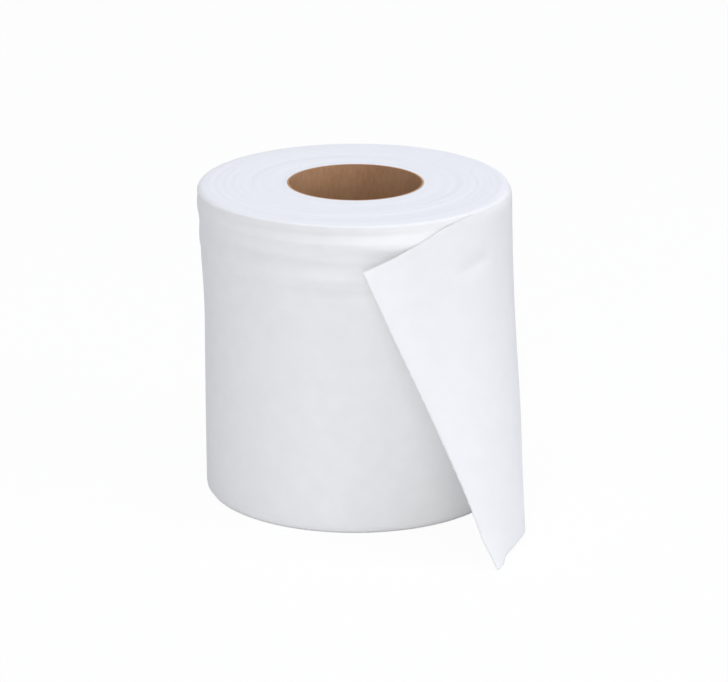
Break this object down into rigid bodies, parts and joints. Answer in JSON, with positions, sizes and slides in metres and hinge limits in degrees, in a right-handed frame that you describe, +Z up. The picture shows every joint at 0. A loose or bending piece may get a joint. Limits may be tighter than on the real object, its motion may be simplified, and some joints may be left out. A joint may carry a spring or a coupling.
{
  "type": "toilet paper roll",
  "caption": "Tissue roll wound on a board core, standing on its end, with its last sheet peeled open in a wide bend at the front.",
  "frame": {"origin": "on the roll's axis, in the plane of the end face it stands on", "axes": "+Z up along the roll's axis, -Y towards the front, where the loose sheet's free corner points, +X towards the side the sheet comes round"},
  "size_m": [0.1055, 0.1346, 0.105],
  "materials": {
    "core_board": "matte",
    "tissue_paper": "matte"
  },
  "bodies": {
    "root": {"core": "core_board", "tissue": "tissue_paper"}
  },
  "joints": []
}
